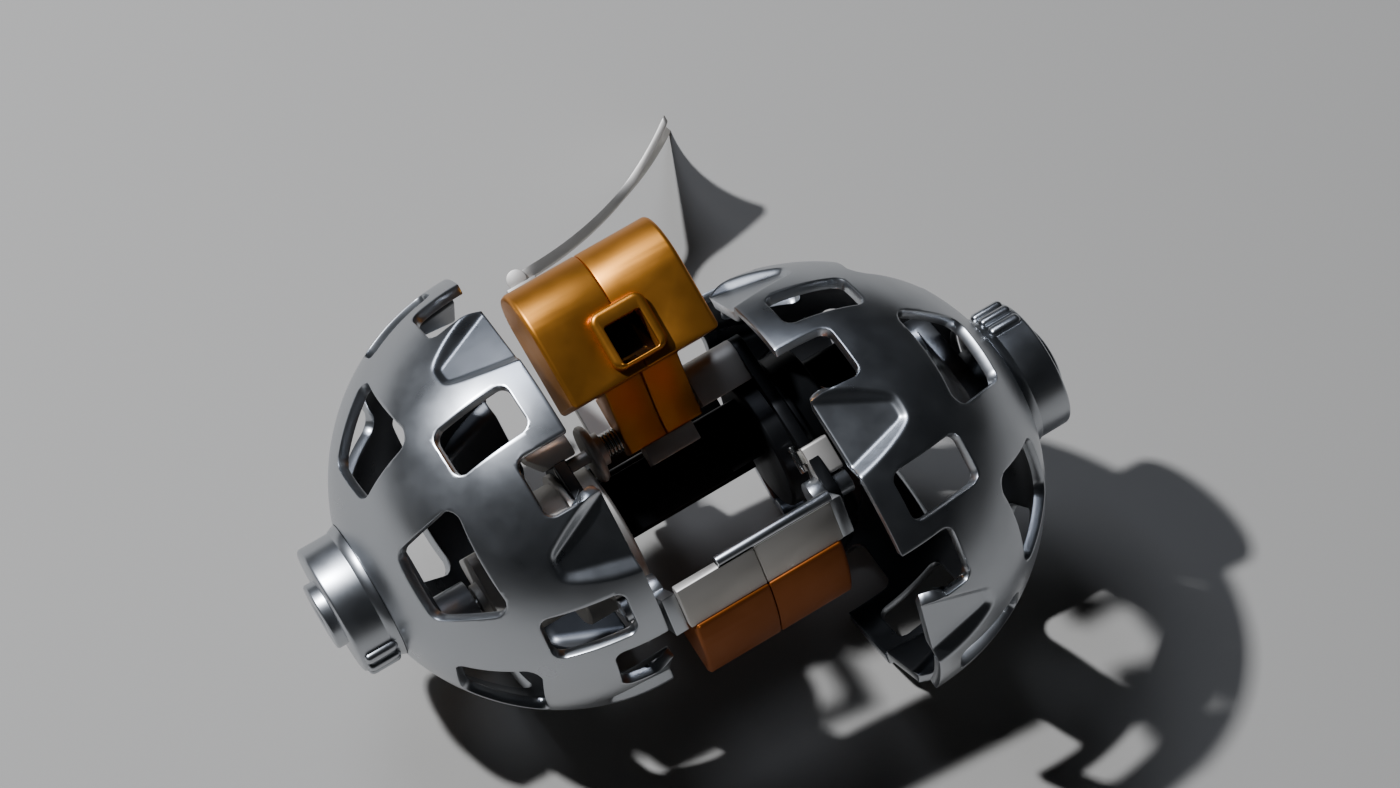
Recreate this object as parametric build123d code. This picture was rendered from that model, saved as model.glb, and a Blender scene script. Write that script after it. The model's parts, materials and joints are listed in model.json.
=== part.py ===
from build123d import *
from math import atan2, cos, degrees, hypot, radians, sin, sqrt
import os

os.makedirs("parts", exist_ok=True)

# A small two-wheeled rover that opens out of a ball. Two perforated aluminium half shells
# are its wheels. They turn on one axle that passes beside their own centres, so each wheel
# rises and falls as it rolls. Between them sits a body with a tilting camera head, a chin
# housing, and a curved tail that is the third support. Millimetres throughout.
#
# Rover frame, used for all the pieces: X along the axle to the right, Y to the rear,
# Z along the raised head. Its origin is the middle of the axle. The last step stands the
# rover on its two shells and its tail.

# Standing pose
STAND_YAW_ANGLE = 31.2
STAND_PITCH_ANGLE = 64.2

# Wheel shells
SHELL_RADIUS = 40.0
SHELL_WALL = 2.0
RIM_OFFSET = 18.3
ECCENTRICITY = 12.65
ECCENTRIC_ANGLE = 17.9
PATTERN_COUNT = 6
LEFT_PHASE_ANGLE = 69.0
RIGHT_PHASE_ANGLE = 40.0

# Openings in a shell, as angles from its pole
RIM_WINDOW_START_ANGLE = 61.7
RIM_WINDOW_END_ANGLE = 83.5
RIM_WINDOW_WIDTH = 9.3
RIM_WINDOW_CORNER = 2.0
POLAR_WINDOW_START_ANGLE = 34.0
POLAR_WINDOW_END_ANGLE = 56.0
POLAR_WINDOW_INNER_WIDTH = 12.9
POLAR_WINDOW_OUTER_WIDTH = 21.6
POLAR_WINDOW_CORNER = 2.7
NOTCH_START_ANGLE = 75.5
NOTCH_WIDTH = 11.2
NOTCH_CORNER = 2.0

# Pressed cleats at the rim
CLEAT_START_ANGLE = 72.0
CLEAT_DEPTH = 2.3
CLEAT_NARROW = 4.4
CLEAT_WIDE = 13.0
CLEAT_CORNER = 1.0
CLEAT_WALL_ANGLE = 38.0

# Wheel hub
HUB_RADIUS = 12.0
HUB_SEAT_DEPTH = 2.1
HUB_HEIGHT = 7.8
HUB_CHAMFER = 0.6
HUB_FLARE_HEIGHT = 2.4
HUB_BOSS_RADIUS = 6.2
HUB_BOSS_LENGTH = 2.0
HUB_SPIGOT_RADIUS = 8.0
HUB_SPIGOT_DEPTH = 3.1
HUB_DIMPLE_RADIUS = 2.2
HUB_DIMPLE_DEPTH = 1.6
KEY_COUNT = 3
KEY_WIDTH = 2.2
KEY_HEIGHT = 1.6
KEY_ROUND = 0.4
KEY_PITCH_ANGLE = 18.0

# Crank plate that joins the hub to the drive shaft
CRANK_THICKNESS = 3.0
CRANK_GAP = 4.9
CRANK_CENTRE_RADIUS = 10.0
CRANK_BOSS_RADIUS = 5.4
CRANK_BOSS_LENGTH = 6.0

# Drive units
SHAFT_RADIUS = 2.0
SHAFT_CLEARANCE = 0.05
SHAFT_ENGAGEMENT = 9.0
DRIVE_GAP = 0.6
MOTOR_RADIUS = 12.5
MOTOR_INNER = 14.2
MOTOR_LENGTH = 12.8
MOTOR_EDGE = 0.5
MOTOR_FLANGE_RADIUS = 13.8
MOTOR_FLANGE_THICKNESS = 1.2
GEARBOX_WIDTH = 17.0
GEARBOX_CORNER = 2.5
MOTOR_NOSE_RADIUS = 4.0
MOTOR_NOSE_LENGTH = 1.4

# Side plates
PLATE_OFFSET = 17.6
PLATE_THICKNESS = 2.2
PLATE_RADIUS = 14.6
PLATE_LUG_RADIUS = 3.2
PLATE_ARM_Y = -14.2
PLATE_ARM_Z = -12.6
LUG_FRONT = -16.2
LUG_REAR = -10.0
LUG_TOP = -4.0
LUG_BOTTOM = -10.3
LUG_LENGTH = 5.0
LUG_CORNER = 0.6

# Cross beam and its front cover
BEAM_FRONT = -4.7
BEAM_REAR = 6.0
BEAM_BOTTOM = -2.0
BEAM_TOP = 9.0
BEAM_WALL = 2.4
COVER_THICKNESS = 0.8
COVER_BOTTOM = -2.6
COVER_TOP = 8.0
COVER_RIGHT_TOP = 6.0
COVER_RIGHT_BOTTOM = 7.6

# Rear housing
REAR_WIDTH = 27.0
REAR_END = 25.0
REAR_BOTTOM = -3.5
REAR_TOP = 11.0
REAR_CORNER = 3.0

# Head hinge
HINGE_Y = -8.0
HINGE_Z = 13.0
HINGE_PIN_RADIUS = 1.2
HINGE_CLEARANCE = 0.05
RIGHT_BLOCK_INNER = 7.7
RIGHT_BLOCK_FRONT = -10.6
RIGHT_BLOCK_REAR = -2.6
RIGHT_BLOCK_BOTTOM = 10.4
RIGHT_BLOCK_TOP = 18.4
RIGHT_BLOCK_ROUND = 3.2
LEFT_BLOCK_INNER = 15.4
LEFT_BLOCK_OUTER = 23.4
LEFT_BLOCK_BOTTOM = 14.4
LEFT_BLOCK_TOP = 19.0
LEFT_BLOCK_SLOPE_RUN = 2.4
LEFT_BLOCK_SLOPE_RISE = 3.2
BLOCK_CORNER = 0.5
SPRING_RADIUS = 2.3
SPRING_WIRE = 0.5
SPRING_TURNS = 4
SPRING_PITCH = 0.82
COLLAR_RADIUS = 3.0
COLLAR_WIDTH = 1.4
DISC_RADIUS = 5.4
DISC_WIDTH = 1.6
DISC_OUTER = 13.6

# Head
HEAD_HALF_WIDTH = 14.2
HEAD_FRONT = -27.0
HEAD_REAR = -9.0
HEAD_BOTTOM = 20.8
HEAD_TOP = 43.5
HEAD_FRONT_ROUND = 9.6
HEAD_REAR_ROUND = 6.0
HEAD_EDGE = 0.9
SEAM_GAP = 0.06
FRAME_WIDTH = 10.5
FRAME_BOTTOM = 22.3
FRAME_TOP = 33.0
FRAME_PROUD = 2.0
FRAME_CORNER = 2.0
WINDOW_WIDTH = 7.0
WINDOW_BOTTOM = 23.0
WINDOW_TOP = 30.2
WINDOW_CORNER = 0.6
WINDOW_DEPTH = 4.0
WINDOW_GLASS = 1.2

# Neck below the head
NECK_HALF_WIDTH = 7.2
NECK_BOTTOM = 9.5
NECK_KINK = 13.2
NECK_KINK_Y = -11.8
NECK_FRONT_TOP = -18.4
NECK_FRONT_BOTTOM = -10.4
NECK_REAR = -5.0
STOP_HALF_WIDTH = 4.8
STOP_BOTTOM = 6.0
STOP_FRONT = -10.0
STOP_GAP = 0.3

# Chin, with its front strip and edge rod
STRIP_HALF_WIDTH = 15.0
STRIP_TOP_Y = -28.0
STRIP_TOP_Z = -13.8
STRIP_BOTTOM_Y = -23.0
STRIP_BOTTOM_Z = -20.5
STRIP_THICKNESS = 2.0
ROD_RADIUS = 1.0
ROD_SEAT = 0.5
ROD_LEFT = -6.6
ROD_RIGHT = 15.6
CHIN_HALF_WIDTH = 14.5
CHIN_RADIUS = 31.2
CHIN_DEPTH = 10.0
CHIN_REAR_Y = -10.0
CHIN_EDGE = 0.8
ARM_INNER = 15.0
ARM_THICKNESS = 5.0
ARM_PIN_RADIUS = 2.2
ARM_PIN_PROUD = 2.8

# Latch pin on the right plate
LATCH_RADIUS = 0.7
LATCH_LENGTH = 5.0
LATCH_GAP = 0.3
LATCH_Y = -13.8
LATCH_TOP = -3.0

# Tail
TAIL_PIVOT_Y = 29.0
TAIL_PIVOT_Z = 5.0
TAIL_EAR_RADIUS = 3.2
TAIL_EAR_THICKNESS = 2.0
TAIL_PIN_RADIUS = 1.2
TAIL_ARM_WIDTH = 6.0
TAIL_ARM_THICKNESS = 2.6
TAIL_ARM_TOP = 46.5
TAIL_SIDE_GAP = 0.3
TAIL_CLAMP_RADIUS = 1.9
TAIL_CLAMP_OVERHANG = 0.6
TAIL_ROOT_THICKNESS = 2.2
TAIL_TIP_THICKNESS = 1.2
TAIL_ROOT_ACROSS = -9.5
TAIL_ROOT_UP = 47.4
TAIL_TIP_ACROSS = 30.8
TAIL_TIP_UP = 61.2
TAIL_BOW = 3.5
TAIL_ROOT_WIDTH = 7.0
TAIL_STRAP_WIDTH = 3.4
TAIL_STRAP_ROUND = 6.0
TAIL_FIN_ACROSS = 16.0
TAIL_FIN_REACH = 54.0
TAIL_FLARE_ROUND = 9.0
TAIL_TIP_WIDTH = 36.0
TAIL_TIP_REACH = 88.5
TAIL_TIP_HOLLOW = 3.2
TAIL_TIP_ROUND = 0.8
TAIL_SKEW_ANGLE = 10.3

# Derived places
SIDES = {"left": -1, "right": 1}
HUB_SEAT = SHELL_RADIUS - HUB_SEAT_DEPTH
HUB_END = HUB_SEAT + HUB_HEIGHT
HUB_FLARE_RADIUS = sqrt(SHELL_RADIUS ** 2 - HUB_SEAT ** 2)
CRANK_OUTER = HUB_SEAT - CRANK_GAP
CRANK_INNER = CRANK_OUTER - CRANK_THICKNESS
ECCENTRIC_Y = ECCENTRICITY * sin(radians(ECCENTRIC_ANGLE))
ECCENTRIC_Z = ECCENTRICITY * cos(radians(ECCENTRIC_ANGLE))
PLATE_OUTER = PLATE_OFFSET + PLATE_THICKNESS
NOSE_END = RIM_OFFSET + CRANK_INNER - CRANK_BOSS_LENGTH - DRIVE_GAP
LATCH_X = PLATE_OFFSET - LATCH_RADIUS - LATCH_GAP
TAIL_NEAR = TAIL_PIVOT_Y + TAIL_EAR_RADIUS - TAIL_ARM_THICKNESS
TAIL_X = (
    (TAIL_ROOT_ACROSS + TAIL_CLAMP_RADIUS / 2) * cos(radians(TAIL_SKEW_ANGLE))
    + (TAIL_NEAR + TAIL_ARM_THICKNESS / 2) * sin(radians(TAIL_SKEW_ANGLE)))
STAND_TILT_ANGLE = degrees(atan2(
    ECCENTRICITY * cos(radians(STAND_PITCH_ANGLE + ECCENTRIC_ANGLE)), RIM_OFFSET))


def on_shell(theta, phi):
    """Plane on a shell's outer face: Z outwards, X along the rim, Y to the pole."""
    flat, turn = radians(theta), radians(phi)
    outward = Vector(sin(flat) * cos(turn), sin(flat) * sin(turn), cos(flat))
    return Plane(outward * SHELL_RADIUS, x_dir=(-sin(turn), cos(turn), 0), z_dir=outward)


def at_rim(radius, phi):
    """Plane that stands on the rim plane: Z outwards, X along the rim, Y to the pole."""
    turn = radians(phi)
    outward = Vector(cos(turn), sin(turn), 0)
    return Plane(outward * radius, x_dir=(-sin(turn), cos(turn), 0), z_dir=outward)


def arc_chord(start, end):
    return 2 * SHELL_RADIUS * sin(radians(end - start) / 2)


def rim_window(phi):
    height = arc_chord(RIM_WINDOW_START_ANGLE, RIM_WINDOW_END_ANGLE)
    face = RectangleRounded(RIM_WINDOW_WIDTH, height, RIM_WINDOW_CORNER)
    centre = (RIM_WINDOW_START_ANGLE + RIM_WINDOW_END_ANGLE) / 2
    return extrude(on_shell(centre, phi) * face, 2 * SHELL_WALL, both=True)


def polar_window(phi):
    half = arc_chord(POLAR_WINDOW_START_ANGLE, POLAR_WINDOW_END_ANGLE) / 2
    inner, outer = POLAR_WINDOW_INNER_WIDTH / 2, POLAR_WINDOW_OUTER_WIDTH / 2
    face = Polygon((-outer, -half), (outer, -half), (inner, half), (-inner, half), align=None)
    face = fillet(face.vertices(), POLAR_WINDOW_CORNER)
    centre = (POLAR_WINDOW_START_ANGLE + POLAR_WINDOW_END_ANGLE) / 2
    return extrude(on_shell(centre, phi) * face, 3 * SHELL_WALL, both=True)


def notch(phi):
    depth = SHELL_RADIUS * cos(radians(NOTCH_START_ANGLE))
    face = Pos(0, depth / 2 - NOTCH_CORNER) * RectangleRounded(
        NOTCH_WIDTH, depth + 2 * NOTCH_CORNER, NOTCH_CORNER)
    return extrude(at_rim(SHELL_RADIUS, phi) * face, 3 * SHELL_WALL, both=True)


def cleat(phi, wall):
    """Wedge pressed into the rim: a flat floor that deepens to the rim, and sloped sides."""
    top = SHELL_RADIUS * cos(radians(CLEAT_START_ANGLE))
    start = SHELL_RADIUS * sin(radians(CLEAT_START_ANGLE))
    slope = atan2(start - (SHELL_RADIUS - CLEAT_DEPTH), top)
    length = top / cos(slope)
    lean = radians(CLEAT_WALL_ANGLE)
    widening = wall * (1 - sin(lean)) / cos(lean)
    narrow, wide = CLEAT_NARROW / 2 + widening, CLEAT_WIDE / 2 + widening
    below = SHELL_WALL
    flare = (wide - narrow) / length
    face = Polygon(
        (-wide - flare * below, -below), (wide + flare * below, -below),
        (narrow, length + wall), (-narrow, length + wall), align=None)
    face = fillet(face.vertices().sort_by(Axis.Y)[-2:], CLEAT_CORNER)
    floor = at_rim(SHELL_RADIUS - CLEAT_DEPTH, phi) * Rot(X=-degrees(slope))
    return extrude(
        floor * Pos(0, 0, -wall) * face, CLEAT_DEPTH + 2 * SHELL_WALL, taper=-CLEAT_WALL_ANGLE)


def around(maker, offset, *sizes):
    step = 360 / PATTERN_COUNT
    return [maker(offset + step * index, *sizes) for index in range(PATTERN_COUNT)]


def half_ball(radius):
    ball = Sphere(radius)
    return ball & Pos(0, 0, radius / 2) * Box(3 * radius, 3 * radius, radius)


def build_shell():
    """Half shell with its rim on Z = 0 and its pole on +Z."""
    step = 360 / PATTERN_COUNT
    inside = SHELL_RADIUS - SHELL_WALL
    outer = half_ball(SHELL_RADIUS) - around(cleat, step * 2 / 3, 0)
    inner = half_ball(inside) - around(cleat, step * 2 / 3, SHELL_WALL)
    shell = outer - inner
    shell -= Pos(0, 0, HUB_SEAT + SHELL_RADIUS) * Box(
        2 * SHELL_RADIUS, 2 * SHELL_RADIUS, 2 * SHELL_RADIUS)
    shell -= Pos(0, 0, HUB_SEAT) * Cylinder(HUB_SPIGOT_RADIUS, 4 * SHELL_WALL)
    shell -= around(rim_window, 0)
    shell -= around(notch, step / 3)
    shell -= around(polar_window, step / 2)
    return shell


def rod(radius, start, end):
    """Cylinder on the Z axis between two heights."""
    return Pos(0, 0, start) * Cylinder(
        radius, end - start, align=(Align.CENTER, Align.CENTER, Align.MIN))


def build_hub():
    """Stepped drum on the pole, flared to its seat, with keys on one side."""
    drum = rod(HUB_RADIUS, HUB_SEAT, HUB_END)
    drum = chamfer(drum.edges().group_by(Axis.Z)[-1], HUB_CHAMFER)
    drum += Pos(0, 0, HUB_SEAT) * Cone(
        HUB_FLARE_RADIUS, HUB_RADIUS, HUB_FLARE_HEIGHT,
        align=(Align.CENTER, Align.CENTER, Align.MIN))
    boss_end = HUB_END + HUB_BOSS_LENGTH
    drum += rod(HUB_BOSS_RADIUS, HUB_END, boss_end)
    drum -= rod(HUB_SPIGOT_RADIUS, HUB_SEAT, HUB_SEAT + HUB_SPIGOT_DEPTH)
    drum -= rod(HUB_DIMPLE_RADIUS, boss_end - HUB_DIMPLE_DEPTH, boss_end)
    key_length = HUB_HEIGHT - 2 * HUB_CHAMFER
    key = Box(2 * KEY_HEIGHT, KEY_WIDTH, key_length)
    key = fillet(key.edges().filter_by(Axis.Z), KEY_ROUND)
    for index in range(KEY_COUNT):
        turn = (index - (KEY_COUNT - 1) / 2) * KEY_PITCH_ANGLE
        drum += Rot(Z=turn) * Pos(HUB_RADIUS, 0, HUB_SEAT + HUB_HEIGHT / 2) * key
    return drum


def build_crank():
    """Plate inside the pole that carries the drive boss at the eccentricity."""
    outline = make_hull([
        Circle(CRANK_CENTRE_RADIUS).edge(),
        (Pos(ECCENTRICITY, 0) * Circle(CRANK_BOSS_RADIUS)).edge()])
    crank = extrude(Pos(0, 0, CRANK_INNER) * outline, CRANK_THICKNESS)
    crank += rod(HUB_SPIGOT_RADIUS, CRANK_OUTER, HUB_SEAT + HUB_SPIGOT_DEPTH)
    crank += Pos(ECCENTRICITY, 0) * rod(
        CRANK_BOSS_RADIUS, CRANK_INNER - CRANK_BOSS_LENGTH, CRANK_INNER)
    crank -= Pos(ECCENTRICITY, 0) * rod(
        SHAFT_RADIUS, CRANK_INNER - CRANK_BOSS_LENGTH, CRANK_OUTER)
    return crank


def build_shaft():
    """Drive shaft, from the motor's bearing to the outer face of the crank."""
    start = NOSE_END - RIM_OFFSET - SHAFT_ENGAGEMENT
    return Pos(ECCENTRICITY, 0) * rod(SHAFT_RADIUS, start, CRANK_OUTER)


def mount_wheel(piece, side, turn):
    """Move a piece from the shell's own frame to its place on the axle."""
    seat = Plane((RIM_OFFSET, -ECCENTRIC_Y, -ECCENTRIC_Z), x_dir=(0, 0, 1), z_dir=(1, 0, 0))
    if side < 0:
        seat = Plane((RIM_OFFSET, ECCENTRIC_Y, ECCENTRIC_Z), x_dir=(0, 0, 1), z_dir=(1, 0, 0))
    placed = seat * Rot(Z=turn) * piece
    if side < 0:
        placed = mirror(placed, Plane.YZ)
    return placed


def shaft_turn(side):
    """Angle in a shell's frame from its centre to the drive shaft."""
    return -ECCENTRIC_ANGLE if side > 0 else 180 - ECCENTRIC_ANGLE


def side_profile(points, inner, outer, side):
    """Extrude a (y, z) outline along the axle between two distances from the middle."""
    plane = Plane((side * inner, 0, 0), x_dir=(0, 1, 0), z_dir=(1, 0, 0))
    face = Polygon(*points, align=None) if isinstance(points, list) else points
    return extrude(plane * face, side * (outer - inner))


def across(radius, y, z, start, end):
    """Cylinder parallel to the axle between two X places."""
    plane = Plane((start, y, z), x_dir=(0, 1, 0), z_dir=(1, 0, 0))
    return extrude(plane * Circle(radius), end - start)


def build_motor(side):
    """Drive unit on the axle: a drum with a flange, a squarer gearbox and a bearing nose."""
    drum_end = MOTOR_INNER + MOTOR_LENGTH
    gearbox_end = NOSE_END - MOTOR_NOSE_LENGTH
    motor = across(MOTOR_RADIUS, 0, 0, side * MOTOR_INNER, side * drum_end)
    motor = chamfer(motor.edges().filter_by(GeomType.CIRCLE), MOTOR_EDGE)
    motor += across(
        MOTOR_FLANGE_RADIUS, 0, 0, side * PLATE_OUTER, side * (PLATE_OUTER + MOTOR_FLANGE_THICKNESS))
    gearbox = RectangleRounded(GEARBOX_WIDTH, GEARBOX_WIDTH, GEARBOX_CORNER)
    motor += side_profile(gearbox, drum_end, gearbox_end, side)
    motor += across(MOTOR_NOSE_RADIUS, 0, 0, side * gearbox_end, side * NOSE_END)
    bore = SHAFT_RADIUS + SHAFT_CLEARANCE
    depth = SHAFT_ENGAGEMENT + SHAFT_CLEARANCE
    motor -= across(bore, 0, 0, side * (NOSE_END - depth), side * NOSE_END)
    return motor


def build_plate(side):
    """Side plate round a motor, with lugs for the hinge pin and the chin's arm."""
    outline = make_hull([
        Circle(PLATE_RADIUS).edge(),
        (Pos(HINGE_Y + 1, RIGHT_BLOCK_TOP - PLATE_LUG_RADIUS) * Circle(PLATE_LUG_RADIUS)).edge(),
        (Pos(PLATE_ARM_Y, PLATE_ARM_Z) * Circle(PLATE_LUG_RADIUS)).edge()])
    outline -= Circle(MOTOR_RADIUS)
    outline -= Pos(HINGE_Y, HINGE_Z) * Circle(HINGE_PIN_RADIUS)
    outline -= Pos(PLATE_ARM_Y, PLATE_ARM_Z) * Circle(ARM_PIN_RADIUS)
    return side_profile(outline, PLATE_OFFSET, PLATE_OUTER, side)


def build_lug(side):
    """Block let into a side plate above the foot of the chin's arm."""
    block = Box(LUG_LENGTH, LUG_REAR - LUG_FRONT, LUG_TOP - LUG_BOTTOM)
    block = fillet(block.edges().filter_by(Axis.X), LUG_CORNER)
    centre = Pos(
        side * (PLATE_OFFSET + LUG_LENGTH / 2),
        (LUG_FRONT + LUG_REAR) / 2, (LUG_TOP + LUG_BOTTOM) / 2)
    end = PLATE_OFFSET + LUG_LENGTH
    return centre * block - across(
        MOTOR_FLANGE_RADIUS, 0, 0, side * PLATE_OFFSET, side * end)


def build_arm(side):
    """Arm from a side plate to the end of the chin, pinned through the plate."""
    bar = [
        (PLATE_ARM_Y + PLATE_LUG_RADIUS, PLATE_ARM_Z),
        (PLATE_ARM_Y - PLATE_LUG_RADIUS, PLATE_ARM_Z),
        (STRIP_TOP_Y + STRIP_THICKNESS, STRIP_TOP_Z),
        (STRIP_BOTTOM_Y + STRIP_THICKNESS, STRIP_BOTTOM_Z),
        (PLATE_ARM_Y + PLATE_LUG_RADIUS, PLATE_ARM_Z - ARM_THICKNESS)]
    arm = side_profile(bar, ARM_INNER, PLATE_OFFSET, side)
    foot = Pos(PLATE_ARM_Y, PLATE_ARM_Z) * Circle(PLATE_LUG_RADIUS)
    arm += side_profile(foot, ARM_INNER, PLATE_OFFSET, side)
    pin = Pos(PLATE_ARM_Y, PLATE_ARM_Z) * Circle(ARM_PIN_RADIUS)
    arm += side_profile(pin, PLATE_OFFSET, PLATE_OUTER + ARM_PIN_PROUD, side)
    return arm


def build_beam():
    length = 2 * MOTOR_INNER
    depth, height = BEAM_REAR - BEAM_FRONT, BEAM_TOP - BEAM_BOTTOM
    centre = Pos(0, (BEAM_FRONT + BEAM_REAR) / 2, (BEAM_BOTTOM + BEAM_TOP) / 2)
    beam = Box(length, depth, height)
    beam = fillet(beam.edges().filter_by(Axis.X), BEAM_WALL / 2)
    hollow = Box(length, depth - 2 * BEAM_WALL, height - 2 * BEAM_WALL)
    return centre * (beam - hollow)


def front_face(y, *points):
    """Outline in (x, z) on a plane across the rover that faces the front."""
    plane = Plane((0, y, 0), x_dir=(1, 0, 0), z_dir=(0, -1, 0))
    return plane * Polygon(*points, align=None)


def build_cover():
    """Thin cover on the beam's front, with a slanted right edge."""
    face = front_face(
        BEAM_FRONT, (-MOTOR_INNER, COVER_BOTTOM), (COVER_RIGHT_BOTTOM, COVER_BOTTOM),
        (COVER_RIGHT_TOP, COVER_TOP), (-MOTOR_INNER, COVER_TOP))
    return extrude(face, COVER_THICKNESS)


def build_rear():
    depth, height = REAR_END - BEAM_REAR, REAR_TOP - REAR_BOTTOM
    block = Box(REAR_WIDTH, depth, height)
    back = block.edges().filter_by(Axis.X).group_by(Axis.Y)[-1]
    block = fillet(back, REAR_CORNER)
    return Pos(0, (BEAM_REAR + REAR_END) / 2, (REAR_BOTTOM + REAR_TOP) / 2) * block


def build_right_block():
    """Block that carries the hinge pin's right end, rounded along its top front edge."""
    outline = Polygon(
        (RIGHT_BLOCK_FRONT, RIGHT_BLOCK_BOTTOM), (RIGHT_BLOCK_REAR, RIGHT_BLOCK_BOTTOM),
        (RIGHT_BLOCK_REAR, RIGHT_BLOCK_TOP), (RIGHT_BLOCK_FRONT, RIGHT_BLOCK_TOP), align=None)
    top = outline.vertices().sort_by_distance((RIGHT_BLOCK_FRONT, RIGHT_BLOCK_TOP))[0]
    outline = fillet(top, RIGHT_BLOCK_ROUND)
    outline -= Pos(HINGE_Y, HINGE_Z) * Circle(HINGE_PIN_RADIUS)
    return side_profile(outline, RIGHT_BLOCK_INNER, PLATE_OFFSET, 1)


def build_left_block():
    """Clamp block let into the top of the left plate, sloped off at its outer end."""
    face = front_face(
        RIGHT_BLOCK_REAR, (-LEFT_BLOCK_INNER, LEFT_BLOCK_BOTTOM),
        (-LEFT_BLOCK_INNER, LEFT_BLOCK_TOP), (-LEFT_BLOCK_OUTER, LEFT_BLOCK_TOP),
        (-LEFT_BLOCK_OUTER, LEFT_BLOCK_BOTTOM + LEFT_BLOCK_SLOPE_RISE),
        (-LEFT_BLOCK_OUTER + LEFT_BLOCK_SLOPE_RUN, LEFT_BLOCK_BOTTOM))
    block = extrude(face, RIGHT_BLOCK_REAR - RIGHT_BLOCK_FRONT)
    return fillet(block.edges().filter_by(Axis.Y), BLOCK_CORNER)


def build_spring():
    """Return spring on the hinge pin, as one ribbed sleeve of closed turns."""
    start = -DISC_OUTER + DISC_WIDTH + COLLAR_WIDTH
    end = start + SPRING_TURNS * SPRING_PITCH
    sleeve = across(SPRING_RADIUS - SPRING_WIRE, HINGE_Y, HINGE_Z, start, end)
    for turn in range(SPRING_TURNS):
        middle = start + (turn + 0.5) * SPRING_PITCH
        sleeve += across(
            SPRING_RADIUS, HINGE_Y, HINGE_Z, middle - SPRING_WIRE / 2, middle + SPRING_WIRE / 2)
    return sleeve - across(HINGE_PIN_RADIUS, HINGE_Y, HINGE_Z, start, end)


def build_collar():
    """Rounded disc with a collar beside it, both on the hinge pin."""
    start = -DISC_OUTER
    middle = start + DISC_WIDTH
    end = middle + COLLAR_WIDTH
    disc = across(DISC_RADIUS, HINGE_Y, HINGE_Z, start, middle)
    disc = fillet(disc.edges().filter_by(GeomType.CIRCLE), DISC_WIDTH / 3)
    collar = disc + across(COLLAR_RADIUS, HINGE_Y, HINGE_Z, middle, end)
    return collar - across(HINGE_PIN_RADIUS, HINGE_Y, HINGE_Z, start, end)


def build_head_half(side):
    """Half of the camera head, with the neck that carries it on the hinge pin."""
    outline = Polygon(
        (HEAD_FRONT, HEAD_BOTTOM), (HEAD_REAR, HEAD_BOTTOM),
        (HEAD_REAR, HEAD_TOP), (HEAD_FRONT, HEAD_TOP), align=None)
    top = outline.vertices().group_by(Axis.Y)[-1].sort_by(Axis.X)
    outline = fillet(top[0], HEAD_FRONT_ROUND)
    top = outline.vertices().sort_by(Axis.X).group_by(Axis.Y)[-1].sort_by(Axis.X)
    outline = fillet(top[-1], HEAD_REAR_ROUND)
    head = side_profile(outline, SEAM_GAP / 2, HEAD_HALF_WIDTH, side)
    outer_face = head.faces().sort_by(Axis.X)[-1 if side > 0 else 0]
    head = fillet(outer_face.edges(), HEAD_EDGE)
    neck = [
        (NECK_FRONT_TOP, HEAD_BOTTOM), (NECK_KINK_Y, NECK_KINK),
        (NECK_FRONT_BOTTOM, NECK_BOTTOM), (NECK_REAR, NECK_BOTTOM), (NECK_REAR, HEAD_BOTTOM),
        (HEAD_REAR - HEAD_EDGE, HEAD_BOTTOM)]
    neck_part = side_profile(neck, SEAM_GAP / 2, NECK_HALF_WIDTH, side)
    head += neck_part
    pocket = Pos(0, HEAD_FRONT + WINDOW_DEPTH / 2, (WINDOW_BOTTOM + WINDOW_TOP) / 2)
    head -= pocket * Box(WINDOW_WIDTH, WINDOW_DEPTH, WINDOW_TOP - WINDOW_BOTTOM)
    bore = HINGE_PIN_RADIUS + HINGE_CLEARANCE
    head -= across(bore, HINGE_Y, HINGE_Z, -NECK_HALF_WIDTH, NECK_HALF_WIDTH)
    return head


def build_window_frame():
    plane = Plane((0, HEAD_FRONT, 0), x_dir=(1, 0, 0), z_dir=(0, -1, 0))
    frame_centre = (FRAME_BOTTOM + FRAME_TOP) / 2
    window_centre = (WINDOW_BOTTOM + WINDOW_TOP) / 2
    outline = Pos(0, frame_centre) * RectangleRounded(
        FRAME_WIDTH, FRAME_TOP - FRAME_BOTTOM, FRAME_CORNER)
    frame = extrude(plane * outline, FRAME_PROUD)
    frame = fillet(frame.faces().sort_by(Axis.Y)[0].edges(), FRAME_PROUD / 2)
    opening = Pos(0, window_centre) * RectangleRounded(
        WINDOW_WIDTH, WINDOW_TOP - WINDOW_BOTTOM, WINDOW_CORNER)
    return frame - extrude(plane * opening, FRAME_PROUD)


def build_window():
    back = HEAD_FRONT + WINDOW_DEPTH
    centre = Pos(0, back - WINDOW_GLASS / 2, (WINDOW_BOTTOM + WINDOW_TOP) / 2)
    return centre * Box(WINDOW_WIDTH, WINDOW_GLASS, WINDOW_TOP - WINDOW_BOTTOM)


def build_stop():
    """Stop below the neck, just clear of the beam's cover."""
    rear = BEAM_FRONT - COVER_THICKNESS - STOP_GAP
    centre = Pos(0, (STOP_FRONT + rear) / 2, (STOP_BOTTOM + NECK_BOTTOM) / 2)
    return centre * Box(2 * STOP_HALF_WIDTH, rear - STOP_FRONT, NECK_BOTTOM - STOP_BOTTOM)


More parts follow.
